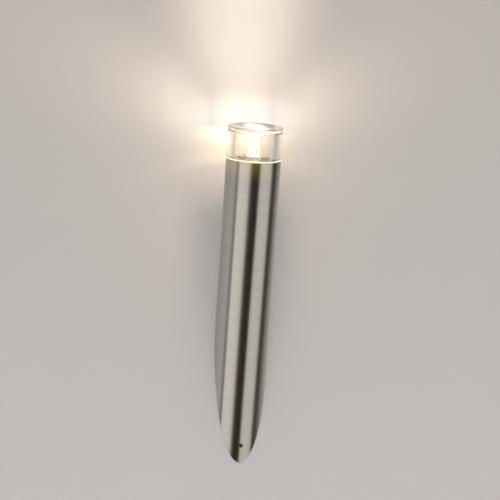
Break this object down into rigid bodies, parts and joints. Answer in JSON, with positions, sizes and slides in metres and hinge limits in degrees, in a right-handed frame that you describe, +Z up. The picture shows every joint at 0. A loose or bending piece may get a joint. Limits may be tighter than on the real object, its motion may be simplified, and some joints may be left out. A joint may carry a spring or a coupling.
{
  "type": "fence light",
  "caption": "Leaning steel tube wall light, mitred to sit flat, with a thick clear lens screwed over a capsule lamp and a hooked wall bracket held by a lock screw.",
  "frame": {"origin": "centre of the bracket's two wall screw holes, on the wall plane, which is also where the tube's axis meets the wall", "axes": "+Z up along the wall, +Y into the wall, so the light faces -Y; the tube leans out from the wall at 13.5 degrees from +Z towards -Y"},
  "size_m": [0.06, 0.0868, 0.376],
  "materials": {
    "tube_steel": "brushed round the tube",
    "collar_aluminium": "turned",
    "clear_silicone": "milky, smooth",
    "dish_aluminium": "polished",
    "lens_glass": "clear, polished",
    "ring_aluminium": "turned",
    "black_rubber": "smooth",
    "holder_ceramic": "matt",
    "contact_metal": "plated",
    "screw_steel": "zinc plated",
    "capsule_glass": "clear",
    "filament_wire": "glowing",
    "filament_support": "drawn wire",
    "pin_metal": "plated wire",
    "bracket_steel": "mill finish",
    "lock_screw_steel": "dark oxide",
    "grommet_rubber": "matt",
    "block_nylon": "moulded",
    "sleeve_brass": "bright",
    "lug_metal": "tinned",
    "brown_insulation": "extruded",
    "blue_insulation": "extruded",
    "green_yellow_insulation": "extruded, striped",
    "glass_fibre_sleeving": "braided"
  },
  "bodies": {
    "housing": {"tube_housing": "tube_steel", "top_collar": "collar_aluminium", "lens_gasket": "clear_silicone", "reflector": "dish_aluminium", "lampholder": "holder_ceramic", "lampholder_contacts": "contact_metal", "lampholder_screws": "screw_steel", "bulb_glass": "capsule_glass", "bulb_filament": "filament_wire", "bulb_supports": "filament_support", "bulb_pins": "pin_metal", "wall_bracket": "bracket_steel", "cable_grommet": "grommet_rubber", "terminal_block": "block_nylon", "terminal_sleeves": "sleeve_brass", "terminal_screws": "screw_steel", "terminal_block_screws": "screw_steel", "earth_stud": "screw_steel", "earth_lug": "lug_metal", "earth_nut": "screw_steel", "earth_washer": "screw_steel", "live_wire": "brown_insulation", "neutral_wire": "blue_insulation", "earth_wire": "green_yellow_insulation", "lead_sleeving": "glass_fibre_sleeving"},
    "lens_seal": {"lens_oring": "black_rubber"},
    "lens": {"lens": "lens_glass", "lens_ring": "ring_aluminium"},
    "lock_screw": {"lock_screw": "lock_screw_steel"}
  },
  "joints": [
    {"name": "lens_rise", "type": "slide", "parent": "housing", "child": "lens_seal", "axis": [0, -0.2334, 0.9724], "range_m": [0, 0.00605]},
    {"name": "lens_turn", "type": "hinge", "parent": "lens_seal", "child": "lens", "pos_m": [0, -0.04961, 0.20663], "axis": [0, -0.2334, 0.9724], "range_deg": [0, 1080]},
    {"name": "lock_screw_slide", "type": "slide", "parent": "housing", "child": "lock_screw", "axis": [0, -0.9724, -0.2334], "range_m": [0, 0.0045]}
  ],
  "couplings": [
    {"joint": "lens_rise", "follows": "lens_turn", "m_per_rad": 0.00031831}
  ]
}
